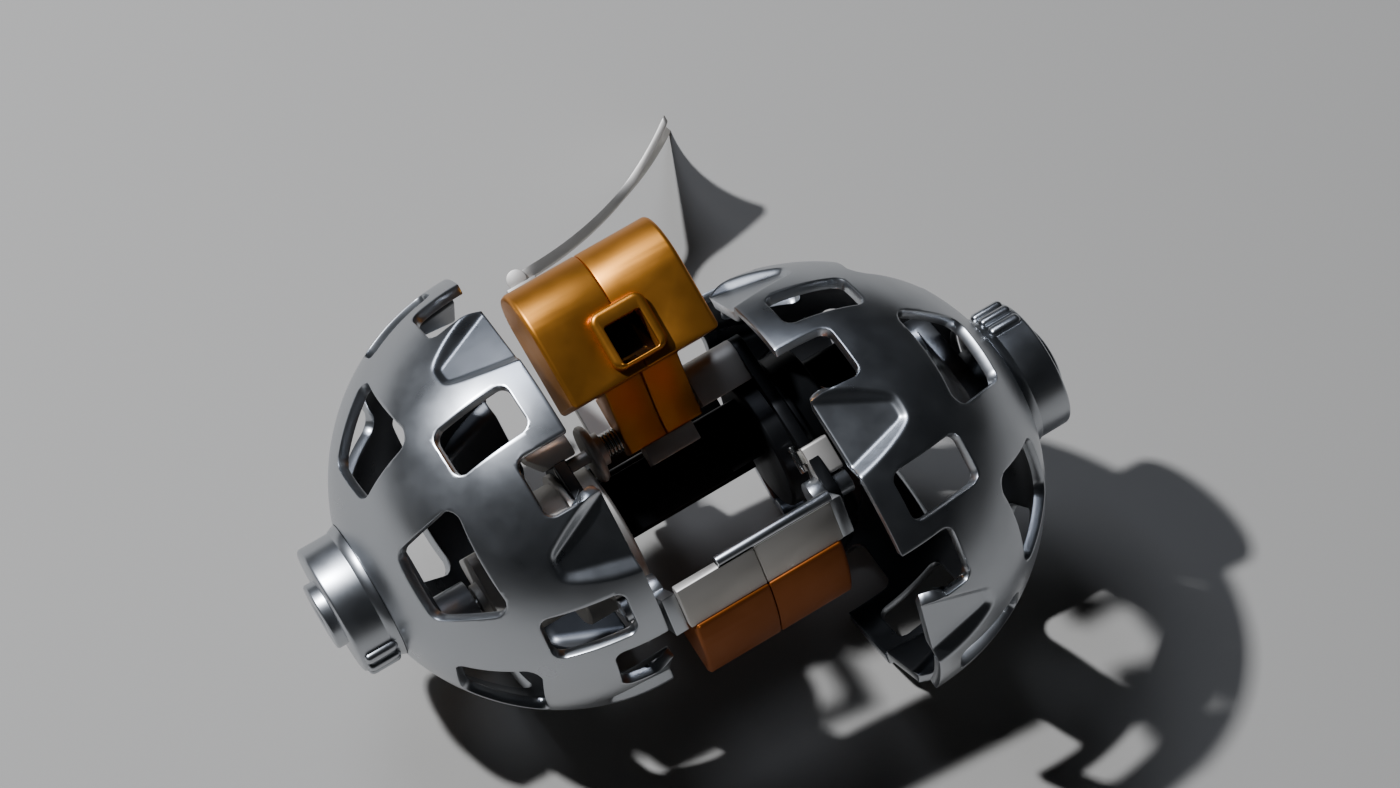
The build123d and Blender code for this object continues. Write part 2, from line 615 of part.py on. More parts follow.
def build_strip_half(side):
    """Half of the bright strip along the chin's front edge."""
    run, fall = STRIP_BOTTOM_Y - STRIP_TOP_Y, STRIP_BOTTOM_Z - STRIP_TOP_Z
    length = hypot(run, fall)
    inward_y, inward_z = -fall / length * STRIP_THICKNESS, run / length * STRIP_THICKNESS
    outline = [
        (STRIP_TOP_Y, STRIP_TOP_Z), (STRIP_BOTTOM_Y, STRIP_BOTTOM_Z),
        (STRIP_BOTTOM_Y + inward_y, STRIP_BOTTOM_Z + inward_z),
        (STRIP_TOP_Y + inward_y, STRIP_TOP_Z + inward_z)]
    strip = side_profile(outline, SEAM_GAP / 2, STRIP_HALF_WIDTH, side)
    return strip - build_edge_rod()


def build_edge_rod():
    """Bright rod let into the top edge of the strip."""
    run, fall = STRIP_BOTTOM_Y - STRIP_TOP_Y, STRIP_BOTTOM_Z - STRIP_TOP_Z
    length = hypot(run, fall)
    half = STRIP_THICKNESS / 2
    y = STRIP_TOP_Y - fall / length * half - run / length * ROD_SEAT
    z = STRIP_TOP_Z + run / length * half - fall / length * ROD_SEAT
    return across(ROD_RADIUS, y, z, ROD_LEFT, ROD_RIGHT)


def build_chin_half(side):
    """Half of the chin housing, a block bent round the axle below the strip."""
    start = degrees(atan2(STRIP_BOTTOM_Z, STRIP_BOTTOM_Y))
    end = degrees(atan2(-sqrt(CHIN_RADIUS ** 2 - CHIN_REAR_Y ** 2), CHIN_REAR_Y))
    turn = radians(start)
    outward = Vector(0, cos(turn), sin(turn))
    width = CHIN_HALF_WIDTH - SEAM_GAP / 2
    section = Plane(outward * (CHIN_RADIUS - CHIN_DEPTH / 2), x_dir=(1, 0, 0),
                    z_dir=Vector(1, 0, 0).cross(outward))
    face = Pos(side * (SEAM_GAP / 2 + width / 2)) * Rectangle(width, CHIN_DEPTH)
    chin = revolve(section * face, Axis.X, revolution_arc=end - start)
    outer_face = chin.faces().sort_by(Axis.X)[-1 if side > 0 else 0]
    return fillet(outer_face.edges(), CHIN_EDGE)


def build_latch():
    pin = Pos(LATCH_X, LATCH_Y, LATCH_TOP - LATCH_LENGTH) * Cylinder(
        LATCH_RADIUS, LATCH_LENGTH, align=(Align.CENTER, Align.CENTER, Align.MIN))
    tab_length = PLATE_OFFSET - LATCH_X
    tab = Pos(LATCH_X + tab_length / 2, LATCH_Y, LATCH_TOP - LATCH_LENGTH / 2) * Box(
        tab_length, 2 * LATCH_RADIUS, LATCH_LENGTH / 2)
    return pin + tab


def build_tail_ears():
    """Pair of ears on the rear housing that hold the tail's pivot pin."""
    half = TAIL_ARM_WIDTH / 2 + TAIL_SIDE_GAP
    outline = [
        (REAR_END, TAIL_PIVOT_Z - TAIL_EAR_RADIUS), (TAIL_PIVOT_Y, TAIL_PIVOT_Z - TAIL_EAR_RADIUS),
        (TAIL_PIVOT_Y, TAIL_PIVOT_Z + TAIL_EAR_RADIUS), (REAR_END, TAIL_PIVOT_Z + TAIL_EAR_RADIUS)]
    face = Polygon(*outline, align=None) + Pos(TAIL_PIVOT_Y, TAIL_PIVOT_Z) * Circle(TAIL_EAR_RADIUS)
    face -= Pos(TAIL_PIVOT_Y, TAIL_PIVOT_Z) * Circle(TAIL_PIN_RADIUS)
    ears = []
    for side in SIDES.values():
        plane = Plane((TAIL_X + side * half, 0, 0), x_dir=(0, 1, 0), z_dir=(1, 0, 0))
        ears.append(extrude(plane * face, side * TAIL_EAR_THICKNESS))
    return ears


def build_tail_pin():
    half = TAIL_ARM_WIDTH / 2 + TAIL_SIDE_GAP + TAIL_EAR_THICKNESS
    return across(TAIL_PIN_RADIUS, TAIL_PIVOT_Y, TAIL_PIVOT_Z, TAIL_X - half, TAIL_X + half)


def build_tail_arm():
    """Stem of the tail, from its knuckle up to the clamp."""
    plane = Plane((TAIL_X - TAIL_ARM_WIDTH / 2, 0, 0), x_dir=(0, 1, 0), z_dir=(1, 0, 0))
    barrel = Pos(TAIL_PIVOT_Y, TAIL_PIVOT_Z) * Circle(TAIL_EAR_RADIUS - TAIL_SIDE_GAP)
    rear = TAIL_PIVOT_Y + TAIL_EAR_RADIUS
    stem = Polygon(
        (rear - TAIL_ARM_THICKNESS, TAIL_PIVOT_Z), (rear - TAIL_SIDE_GAP, TAIL_PIVOT_Z),
        (rear - TAIL_SIDE_GAP, TAIL_ARM_TOP), (rear - TAIL_ARM_THICKNESS, TAIL_ARM_TOP),
        align=None)
    face = barrel + stem - Pos(TAIL_PIVOT_Y, TAIL_PIVOT_Z) * Circle(
        TAIL_PIN_RADIUS + HINGE_CLEARANCE)
    return extrude(plane * face, TAIL_ARM_WIDTH)


def tail_frame():
    """Axes of the blade: across to the right, and along its width to the rear."""
    skew = radians(TAIL_SKEW_ANGLE)
    return Vector(cos(skew), -sin(skew), 0), Vector(sin(skew), cos(skew), 0)


def tail_line(share, shift):
    """Point on the blade's bowed section, moved square to its chord."""
    across_run, up_run = TAIL_TIP_ACROSS - TAIL_ROOT_ACROSS, TAIL_TIP_UP - TAIL_ROOT_UP
    length = hypot(across_run, up_run)
    bow = -4 * TAIL_BOW * share * (1 - share) + shift
    return (
        TAIL_ROOT_ACROSS + share * across_run - bow * up_run / length,
        TAIL_ROOT_UP + share * up_run + bow * across_run / length)


def tail_planform():
    """Outline from above: a strap that narrows from the clamp, and a fin hollowed at its end."""
    near, far = TAIL_NEAR, TAIL_NEAR + TAIL_ROOT_WIDTH
    root = TAIL_ROOT_ACROSS - TAIL_ROOT_THICKNESS
    neck = TAIL_ROOT_ACROSS + 2 * TAIL_CLAMP_RADIUS
    half = TAIL_STRAP_WIDTH / 2
    tip_near = (TAIL_TIP_ACROSS, TAIL_TIP_REACH - TAIL_TIP_WIDTH)
    tip_far = (TAIL_TIP_ACROSS + TAIL_TIP_THICKNESS, TAIL_TIP_REACH)
    hollow = (
        (tip_near[0] + tip_far[0]) / 2 - TAIL_TIP_HOLLOW,
        (tip_near[1] + tip_far[1]) / 2)
    sides = Polyline(
        tip_far, (TAIL_FIN_ACROSS, TAIL_FIN_REACH + half), (neck, far), (root, far),
        (root, near), (neck, near), (TAIL_FIN_ACROSS, TAIL_FIN_REACH - half), tip_near)
    planform = make_face(Curve() + sides.edges() + [ThreePointArc(tip_near, hollow, tip_far)])
    rounds = {neck: TAIL_STRAP_ROUND, TAIL_FIN_ACROSS: TAIL_FLARE_ROUND, tip_near[0]: TAIL_TIP_ROUND}
    for across_place, radius in rounds.items():
        corners = planform.vertices().group_by(lambda v: round(abs(v.X - across_place), 3))[0]
        planform = fillet(corners, radius)
    return planform


def build_tail_blade(floor):
    """Thin curved blade with its width to the rear, from the clamp to the fin on the floor."""
    across_dir, along_dir = tail_frame()
    section = Plane((0, 0, 0), x_dir=across_dir, z_dir=-along_dir)
    half_root, half_tip = TAIL_ROOT_THICKNESS / 2, TAIL_TIP_THICKNESS / 2
    half_middle = (half_root + half_tip) / 2
    upper = [tail_line(0, half_root), tail_line(0.5, half_middle), tail_line(1, half_tip)]
    lower = [tail_line(0, -half_root), tail_line(0.5, -half_middle), tail_line(1, -half_tip)]
    ribbon = make_face(Curve() + [
        ThreePointArc(*upper), Line(upper[2], lower[2]),
        ThreePointArc(*lower), Line(lower[0], upper[0])])
    slab = extrude(section * ribbon, -(TAIL_TIP_REACH + TAIL_TIP_WIDTH))
    top = Plane((0, 0, TAIL_ARM_TOP), x_dir=across_dir, z_dir=(0, 0, 1))
    blade = slab & extrude(top * tail_planform(), TAIL_TIP_UP)
    return blade - floor


def build_tail_clamp():
    """Round clamp at the head of the stem, slit for the blade's root."""
    across_dir, along_dir = tail_frame()
    centre = across_dir * (TAIL_ROOT_ACROSS + TAIL_CLAMP_RADIUS / 2) + Vector(0, 0, TAIL_ROOT_UP)
    start = centre + along_dir * (TAIL_NEAR - TAIL_CLAMP_OVERHANG)
    plane = Plane(start, x_dir=across_dir, z_dir=along_dir)
    return extrude(plane * Circle(TAIL_CLAMP_RADIUS), TAIL_ROOT_WIDTH + 2 * TAIL_CLAMP_OVERHANG)


shell = build_shell()
hub = build_hub()
crank = build_crank()
shaft = build_shaft()

nodes = {}
for name, side in SIDES.items():
    phase = RIGHT_PHASE_ANGLE if side > 0 else LEFT_PHASE_ANGLE
    turn = shaft_turn(side)
    nodes[f"wheel_shell_{name}"] = mount_wheel(shell, side, phase)
    nodes[f"wheel_hub_{name}"] = mount_wheel(hub, side, turn)
    nodes[f"wheel_crank_{name}"] = mount_wheel(crank, side, turn)
    nodes[f"drive_shaft_{name}"] = mount_wheel(shaft, side, turn)
    nodes[f"motor_{name}"] = build_motor(side)
    nodes[f"chin_lug_{name}"] = build_lug(side)
    nodes[f"side_plate_{name}"] = build_plate(side) - nodes[f"chin_lug_{name}"]
    nodes[f"chin_arm_{name}"] = build_arm(side)
    nodes[f"head_{name}"] = build_head_half(side)
    nodes[f"chin_{name}"] = build_chin_half(side)
    nodes[f"chin_strip_{name}"] = build_strip_half(side) - nodes[f"chin_{name}"]
nodes["cross_beam"] = build_beam()
nodes["rear_housing"] = build_rear()
nodes["front_cover"] = build_cover()
nodes["hinge_block_right"] = build_right_block() - nodes["motor_right"]
nodes["hinge_block_left"] = build_left_block()
nodes["side_plate_left"] -= nodes["hinge_block_left"]
nodes["hinge_pin"] = across(
    HINGE_PIN_RADIUS, HINGE_Y, HINGE_Z, -PLATE_OUTER, PLATE_OUTER)
nodes["hinge_spring"] = build_spring()
nodes["hinge_collar"] = build_collar()
nodes["window_frame"] = build_window_frame()
nodes["camera_window"] = build_window()
nodes["head_stop"] = build_stop()
nodes["chin_edge_rod"] = build_edge_rod()
nodes["latch_pin"] = build_latch()
ears = build_tail_ears()
nodes["tail_ear_left"] = ears[0]
nodes["tail_ear_right"] = ears[1]
nodes["tail_pin"] = build_tail_pin()

# Standing pose: yaw, the small tilt that levels both shells, and the pitch on the tail
stand = Pos(0, 0, SHELL_RADIUS) * Rot(Z=STAND_YAW_ANGLE) * Rot(Y=-STAND_TILT_ANGLE) * Rot(X=-STAND_PITCH_ANGLE)
floor = stand.inverse() * Pos(0, 0, -SHELL_RADIUS) * Box(
    8 * SHELL_RADIUS, 8 * SHELL_RADIUS, 2 * SHELL_RADIUS)
clamp = build_tail_clamp()
blade = build_tail_blade(floor)
nodes["tail_blade"] = blade
nodes["tail_clamp"] = clamp - blade
nodes["tail_arm"] = build_tail_arm() - clamp

placed = {name: stand * piece for name, piece in nodes.items()}
boxes = [piece.bounding_box() for piece in placed.values()]
low = [min(box.min.X for box in boxes), min(box.min.Y for box in boxes)]
high = [max(box.max.X for box in boxes), max(box.max.Y for box in boxes)]
centring = Pos(-(low[0] + high[0]) / 2, -(low[1] + high[1]) / 2, 0)

for name, piece in placed.items():
    export_step(centring * piece, f"parts/{name}.step")
    low_point = piece.bounding_box().min.Z
    print(f"{name}: {len(piece.solids())} solid, {piece.volume:.1f} mm3, {low_point:.3f} above the floor")
print("centring", centring.position)
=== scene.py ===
import json
from math import radians, degrees, sin, cos, sqrt, atan2, acos, ceil, hypot

import bpy
import numpy as np
from mathutils import Matrix, Vector
from mathutils.geometry import intersect_point_line
from mathutils.kdtree import KDTree

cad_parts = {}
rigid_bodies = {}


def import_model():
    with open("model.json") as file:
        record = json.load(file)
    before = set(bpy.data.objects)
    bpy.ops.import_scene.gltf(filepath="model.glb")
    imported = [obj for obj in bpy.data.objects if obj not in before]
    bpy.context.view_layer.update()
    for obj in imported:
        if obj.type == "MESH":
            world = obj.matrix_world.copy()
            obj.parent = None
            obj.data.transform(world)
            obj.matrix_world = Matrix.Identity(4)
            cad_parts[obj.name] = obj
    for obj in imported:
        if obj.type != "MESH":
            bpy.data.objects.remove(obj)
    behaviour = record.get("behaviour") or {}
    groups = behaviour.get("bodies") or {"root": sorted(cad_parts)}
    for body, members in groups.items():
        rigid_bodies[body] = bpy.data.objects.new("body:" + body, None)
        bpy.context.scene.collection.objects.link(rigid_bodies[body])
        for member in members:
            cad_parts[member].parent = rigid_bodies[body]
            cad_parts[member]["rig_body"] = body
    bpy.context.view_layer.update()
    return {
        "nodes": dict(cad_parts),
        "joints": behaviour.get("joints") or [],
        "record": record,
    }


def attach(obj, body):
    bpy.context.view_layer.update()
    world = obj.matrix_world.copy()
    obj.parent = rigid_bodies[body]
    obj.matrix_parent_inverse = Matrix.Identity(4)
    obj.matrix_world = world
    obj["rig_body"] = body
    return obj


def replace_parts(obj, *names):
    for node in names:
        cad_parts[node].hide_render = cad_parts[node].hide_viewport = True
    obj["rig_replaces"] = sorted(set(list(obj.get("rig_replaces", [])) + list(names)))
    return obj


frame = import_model()
print("stage: frame loaded")

# how the rover stands, in degrees and metres, as in the part's source; the axle's middle comes from the
# packed wheel joint, and each shell's centre is offset along the axle and eccentric beside it
stance = {"yaw": 31.2, "pitch": 64.2, "offset": 0.0183, "eccentric": 0.01265, "eccentricTurn": 17.9}
spin = next(joint for joint in frame["joints"] if joint["name"] == "wheel_right_spin")
axleMiddle = Vector(spin["pos_m"])
stanceTilt = degrees(atan2(
    stance["eccentric"] * cos(radians(stance["pitch"] + stance["eccentricTurn"])), stance["offset"]))
roverPlace = (
    Matrix.Translation(axleMiddle) @ Matrix.Rotation(radians(stance["yaw"]), 4, "Z")
    @ Matrix.Rotation(radians(-stanceTilt), 4, "Y") @ Matrix.Rotation(radians(-stance["pitch"]), 4, "X"))


def wheelPlace(side, turn):
    # from a wheel's own frame, rim on z = 0 and pole on +z, to its place on the axle; side is 1 or -1
    sideways = stance["eccentric"] * sin(radians(stance["eccentricTurn"])) * side
    rise = stance["eccentric"] * cos(radians(stance["eccentricTurn"])) * side
    seat = Matrix(((0, 0, 1, stance["offset"]), (0, -1, 0, -sideways), (1, 0, 0, -rise), (0, 0, 0, 1)))
    return roverPlace @ Matrix.Diagonal((side, 1, 1, 1)) @ seat @ Matrix.Rotation(radians(turn), 4, "Z")


def hubTurn(side):
    return -stance["eccentricTurn"] + (0 if side > 0 else 180)


def onlySelect(piece):
    bpy.ops.object.select_all(action="DESELECT")
    piece.select_set(True)
    bpy.context.view_layer.objects.active = piece


def applyModifier(piece, kind, **settings):
    onlySelect(piece)
    modifier = piece.modifiers.new(kind.lower(), kind)
    for name, value in settings.items():
        setattr(modifier, name, value)
    bpy.ops.object.modifier_apply(modifier=modifier.name)


def shadeAcross(piece, angle):
    # smooth shading over every edge that turns by less than the angle
    onlySelect(piece)
    bpy.ops.object.shade_smooth_by_angle(angle=radians(angle))


def roundEdges(piece, width, above=32):
    # rounds every edge that turns by more than the angle, then shades across the small turns
    applyModifier(
        piece, "BEVEL", width=width, segments=2, limit_method="ANGLE",
        angle_limit=radians(above), use_clamp_overlap=False, loop_slide=False)
    shadeAcross(piece, 32)


def place(piece, matrix):
    piece.data.transform(matrix)
    if matrix.determinant() < 0:
        piece.data.flip_normals()


def copyOf(piece, name):
    copied = bpy.data.objects.new(name, piece.data.copy())
    bpy.context.scene.collection.objects.link(copied)
    return copied


def settle(piece, name, body, slotName, *nodes, finish=None):
    # names a finished piece, gives it its material and hands it to the frame
    piece.name = name
    piece.data.name = name
    piece.data.materials.clear()
    piece.data.materials.append(finish or finishes[slotName])
    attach(piece, body)
    if nodes:
        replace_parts(piece, *nodes)


def toLinear(hexColour):
    values = [int(hexColour[i:i + 2], 16) / 255 for i in (1, 3, 5)]
    return tuple(v / 12.92 if v <= 0.04045 else ((v + 0.055) / 1.055) ** 2.4 for v in values) + (1.0,)


def addNode(material, kind, inputs=None, **settings):
    node = material.node_tree.nodes.new(kind)
    for name, value in settings.items():
        setattr(node, name, value)
    for name, value in (inputs or {}).items():
        if isinstance(value, bpy.types.NodeSocket):
            material.node_tree.links.new(value, node.inputs[name])
        else:
            node.inputs[name].default_value = value
    return node


def newMaterial(name):
    material = bpy.data.materials.new(name)
    material.use_nodes = True
    return material, material.node_tree.nodes["Principled BSDF"]


def perMetre(millimetres):
    # texture scale whose cells come out this wide
    return 1000 / millimetres


def polishPatches(material, shader, wide, rough):
    # patches of slightly different polish, as fingers and tumbling leave them
    surface = addNode(material, "ShaderNodeTexCoord").outputs["Object"]
    patches = addNode(
        material, "ShaderNodeTexNoise", {"Vector": surface, "Scale": perMetre(wide), "Detail": 3.0})
    polish = addNode(
        material, "ShaderNodeMapRange",
        {"Value": patches.outputs["Fac"], "From Min": 0.3, "From Max": 0.7,
         "To Min": rough[0], "To Max": rough[1]})
    material.node_tree.links.new(polish.outputs["Result"], shader.inputs["Roughness"])


def turnedGrain(material, shader, centre, axis, spacing, depth):
    # fine rings left by the lathe tool, counted along the part's own axis
    surface = addNode(material, "ShaderNodeTexCoord").outputs["Object"]
    fromCentre = addNode(
        material, "ShaderNodeVectorMath", {0: surface, 1: centre}, operation="SUBTRACT").outputs[0]
    along = addNode(
        material, "ShaderNodeVectorMath", {0: fromCentre, 1: axis}, operation="DOT_PRODUCT").outputs["Value"]
    rings = addNode(
        material, "ShaderNodeTexNoise", {"W": along, "Scale": perMetre(spacing), "Detail": 1.0},
        noise_dimensions="1D")
    bump = addNode(
        material, "ShaderNodeBump",
        {"Height": rings.outputs["Fac"], "Strength": 1.0, "Distance": depth / 1000})
    material.node_tree.links.new(bump.outputs["Normal"], shader.inputs["Normal"])
    return fromCentre


# satin aluminium, turned and lightly polished outside: blurred reflections and a wide soft glow under the
# lamp;
# the wheels' inner walls get a much darker colour, painted shade for the dark inside of the ball (widths and
# depth in mm)
satinFinish = {"outside": "#B9BCC0", "inside": "#4C4E52", "inner": -0.75, "outer": -0.30,
               "rough": (0.27, 0.35), "patch": 8.0, "rings": 0.15, "depth": 0.00030}


def satinWheel(name, side):
    material, shader = newMaterial(name)
    turned = wheelPlace(side, 0)
    centre, axis = turned.translation, (turned.to_3x3() @ Vector((0, 0, 1))).normalized()
    shader.inputs["Metallic"].default_value = 1.0
    fromCentre = turnedGrain(
        material, shader, centre, axis, spacing=satinFinish["rings"], depth=satinFinish["depth"])
    polishPatches(material, shader, satinFinish["patch"], satinFinish["rough"])
    # a face that looks at the ball's centre is inner wall and gets the darker colour as painted shade; 6 and
    # 7 are the Mix node's colours, 2 its result
    facing = addNode(material, "ShaderNodeTexCoord").outputs["Normal"]
    outward = addNode(material, "ShaderNodeVectorMath", {0: fromCentre}, operation="NORMALIZE").outputs[0]
    turnedOut = addNode(
        material, "ShaderNodeVectorMath", {0: facing, 1: outward}, operation="DOT_PRODUCT").outputs["Value"]
    paintedInnerShade = addNode(
        material, "ShaderNodeMapRange",
        {"Value": turnedOut, "From Min": satinFinish["inner"], "From Max": satinFinish["outer"]})
    colour = addNode(
        material, "ShaderNodeMix",
        {"Factor": paintedInnerShade.outputs["Result"], 6: toLinear(satinFinish["inside"]),
         7: toLinear(satinFinish["outside"])}, data_type="RGBA")
    material.node_tree.links.new(colour.outputs[2], shader.inputs["Base Color"])
    return material


def metalFinish(name, colour, metallic, wide, rough, grain, depth):
    # an even metal: patches of polish and a fine surface grain as bump, both from real sizes in mm
    material, shader = newMaterial(name)
    shader.inputs["Base Color"].default_value = toLinear(colour)
    shader.inputs["Metallic"].default_value = metallic
    polishPatches(material, shader, wide, rough)
    surface = addNode(material, "ShaderNodeTexCoord").outputs["Object"]
    grit = addNode(
        material, "ShaderNodeTexNoise", {"Vector": surface, "Scale": perMetre(grain), "Detail": 2.0})
    bump = addNode(
        material, "ShaderNodeBump",
        {"Height": grit.outputs["Fac"], "Strength": 1.0, "Distance": depth / 1000})
    material.node_tree.links.new(bump.outputs["Normal"], shader.inputs["Normal"])
    return material


# machined aluminium: soft wide highlights with a faint grain
machinedAluminium = metalFinish(
    "machinedAluminium", "#BFC2C6", metallic=1.0, wide=9.0, rough=(0.27, 0.36), grain=0.12, depth=0.0006)

# orange for the chin, rougher and less metallic than the head's, its colour darkened to deep brown as
# painted shade for the chin's shaded faces
roughOrangePaintedShade = metalFinish(
    "orangeCoatedAluminium", "#8C4A10", metallic=0.7, wide=6.0, rough=(0.48, 0.56), grain=0.10, depth=0.0010)

# bead-blasted aluminium: an even warm grey, with no picture of what it faces
blastedAluminium = metalFinish(
    "beadBlastedAluminium", "#CFCBC5", metallic=1.0, wide=5.0, rough=(0.54, 0.60), grain=0.10, depth=0.0012)

# orange anodised aluminium: gold where it mirrors the lit floor, deep brown where it mirrors the dark
orangeAnodised = metalFinish(
    "orangeAnodisedAluminium", "#D08A36", metallic=0.92, wide=6.0, rough=(0.34, 0.42), grain=0.10,
    depth=0.0010)

# drawn stainless steel: brighter and sharper than the aluminium beside it
drawnSteel = metalFinish(
    "drawnStainlessSteel", "#C9C9C6", metallic=1.0, wide=3.0, rough=(0.14, 0.22), grain=0.08, depth=0.0004)

# black anodised aluminium: almost no light from the inner frame
blackAnodised = metalFinish(
    "blackAnodisedAluminium", "#1C1D1F", metallic=0.8, wide=6.0, rough=(0.38, 0.48), grain=0.10,
    depth=0.0008)

# tinted camera glass: black with a clear sharp reflection
tintedGlass, shader = newMaterial("tintedCameraGlass")
shader.inputs["Base Color"].default_value = toLinear("#08080A")
shader.inputs["Roughness"].default_value = 0.06

finishes = {
    "aluminium": machinedAluminium, "gold_metal": orangeAnodised, "steel": drawnSteel,
    "dark_metal": blackAnodised, "dark_window": tintedGlass}
print("stage: materials made")

# wheel shells: one sector of the half ball is cut and pressed, then spun round; lengths in metres, and
# degrees from the pole for start, end and lowest, round the axis for every turn and for first and last
wheelShell = {
    "radius": 0.040, "wall": 0.002, "edge": 0.00024,
    "seat": 0.0379,  # height above the rim at which the pole is open under the hub
    "circle": 360, "sectors": 6,  # mesh points round the whole circle, and repeats of the pattern
    "cutReach": 1.3, "rounding": 22.5,  # degrees that a cut reaches beside its line, and to a corner's flat
    "seam": 0.00001,  # points this near join where the sectors meet
    "merge": 0.00030, "weld": 0.00018, "sliver": 0.00003,  # and this near an outline or each other
    "standing": 0.3,  # a joined face that looks outwards by less than this is taken out
    "rightTurn": 40.0, "leftTurn": 69.0,  # how far round each wheel stands in the photograph
    "rimWindow": {
        "turns": (0, 60), "start": 61.7, "end": 83.5, "low": 0.0093, "high": 0.0093, "corner": 0.0020},
    "polarWindow": {
        "turns": (30,), "start": 34.0, "end": 56.0, "low": 0.0216, "high": 0.0129, "corner": 0.0027},
    "notch": {"turn": 20, "start": 75.5, "width": 0.0112, "corner": 0.0020},
    "cleat": {
        "turn": 40, "start": 73.0, "depth": 0.0023, "low": 0.0096, "high": 0.0034, "corner": 0.0010,
        "rounding": 36, "lean": 52.0, "crease": 0.00035, "brink": 0.00055,
        "pastRim": 0.002},  # the wedge is drawn this far beyond the rim, so that the rim cuts it clean
    "fine": {"first": 28.0, "last": 52.0, "lowest": 70.5, "cuts": 2},  # finer mesh where the cleat goes
}


def roundedOutline(corners, rounds, step):
    # lines (normal, distance, corner's centre) round a convex outline that runs anticlockwise
    lines = []
    count = len(corners)
    for index in range(count):
        before, here, after = corners[index - 1], corners[index], corners[(index + 1) % count]
        start = atan2(here[1] - before[1], here[0] - before[0]) - radians(90)
        turn = atan2(after[1] - here[1], after[0] - here[0]) - radians(90) - start
        turn -= radians(360) * round(turn / radians(360))
        if rounds[index]:
            middle = start + turn / 2
            away = rounds[index] / cos(turn / 2)
            centre = (here[0] - away * cos(middle), here[1] - away * sin(middle))
            flats = ceil(abs(turn) / radians(step))
            for flat in range(flats):
                facing = start + turn * (flat + 0.5) / flats
                normal = (cos(facing), sin(facing))
                distance = normal[0] * centre[0] + normal[1] * centre[1] + rounds[index]
                lines.append((normal, distance, centre))
        facing = start + turn
        normal = (cos(facing), sin(facing))
        lines.append((normal, normal[0] * here[0] + normal[1] * here[1], None))
    return lines


def faceCentres(mesh):
    values = np.zeros(len(mesh.polygons) * 3)
    mesh.polygons.foreach_get("center", values)
    return values.reshape(-1, 3)


def vertexPoints(mesh):
    values = np.zeros(len(mesh.vertices) * 3)
    mesh.vertices.foreach_get("co", values)
    return values.reshape(-1, 3)


def pickFaces(piece, chosen):
    # leaves edit mode on
    bpy.ops.object.mode_set(mode="EDIT")
    bpy.ops.mesh.select_mode(type="FACE")
    bpy.ops.mesh.select_all(action="DESELECT")
    bpy.ops.object.mode_set(mode="OBJECT")
    piece.data.polygons.foreach_set("select", chosen)
    bpy.ops.object.mode_set(mode="EDIT")


def cutAlong(piece, point, normal, zone):
    chosen = zone(faceCentres(piece.data))
    if chosen.any():
        pickFaces(piece, chosen)
        bpy.ops.mesh.bisect(plane_co=point, plane_no=normal, threshold=1e-6)
        bpy.ops.object.mode_set(mode="OBJECT")


def cutOpening(piece, axes, lines):
    # cuts an outline through the shell along its outward axis, then opens it
    outward, along, up = (np.array(axis) for axis in axes)
    reach = wheelShell["radius"] * radians(wheelShell["cutReach"])
    normals = np.array([line[0] for line in lines])
    limits = np.array([line[1] for line in lines])

    def outside(points):
        # how far each point lies outside each line, with the far side of the ball all outside
        places = np.stack([points @ along, points @ up], axis=1)
        gaps = places @ normals.T - limits
        gaps[points @ outward < 0] = 1
        return gaps

    for index, (normal, limit, centre) in enumerate(lines):
        def zone(points):
            gaps = outside(points)
            near = (np.abs(gaps[:, index]) < reach) & (gaps.max(axis=1) < reach)
            if centre is not None:
                acrossCorner, upCorner = points @ along - centre[0], points @ up - centre[1]
                corner = limit - normal[0] * centre[0] - normal[1] * centre[1]
                near &= np.hypot(acrossCorner, upCorner) < corner + reach
                near &= acrossCorner * normal[0] + upCorner * normal[1] > 0
            return near
        direction = along * normal[0] + up * normal[1]
        cutAlong(piece, direction * limit, direction, zone)
    pickFaces(piece, outside(faceCentres(piece.data)).max(axis=1) < -2e-6)
    bpy.ops.mesh.delete(type="FACE")
    bpy.ops.object.mode_set(mode="OBJECT")


def windowAxes(window, turn):
    middle, turn = radians((window["start"] + window["end"]) / 2), radians(turn)
    outward = Vector((sin(middle) * cos(turn), sin(middle) * sin(turn), cos(middle)))
    along = Vector((-sin(turn), cos(turn), 0))
    return outward, along, outward.cross(along)


def windowLines(window):
    half = wheelShell["radius"] * sin(radians(window["end"] - window["start"]) / 2)
    low, high = window["low"] / 2, window["high"] / 2
    corners = [(-low, -half), (low, -half), (high, half), (-high, half)]
    return roundedOutline(corners, [window["corner"]] * 4, wheelShell["rounding"])


def cutNotch(sector):
    # a notch is open at the rim, so its outline runs past it and only its top corners are rounded
    notch = wheelShell["notch"]
    turn, half = radians(notch["turn"]), notch["width"] / 2
    top = wheelShell["radius"] * cos(radians(notch["start"]))
    corners = [(-half, -half), (half, -half), (half, top), (-half, top)]
    lines = roundedOutline(corners, [0, 0, notch["corner"], notch["corner"]], wheelShell["rounding"])
    axes = (Vector((cos(turn), sin(turn), 0)), Vector((-sin(turn), cos(turn), 0)), Vector((0, 0, 1)))
    cutOpening(sector, axes, lines)


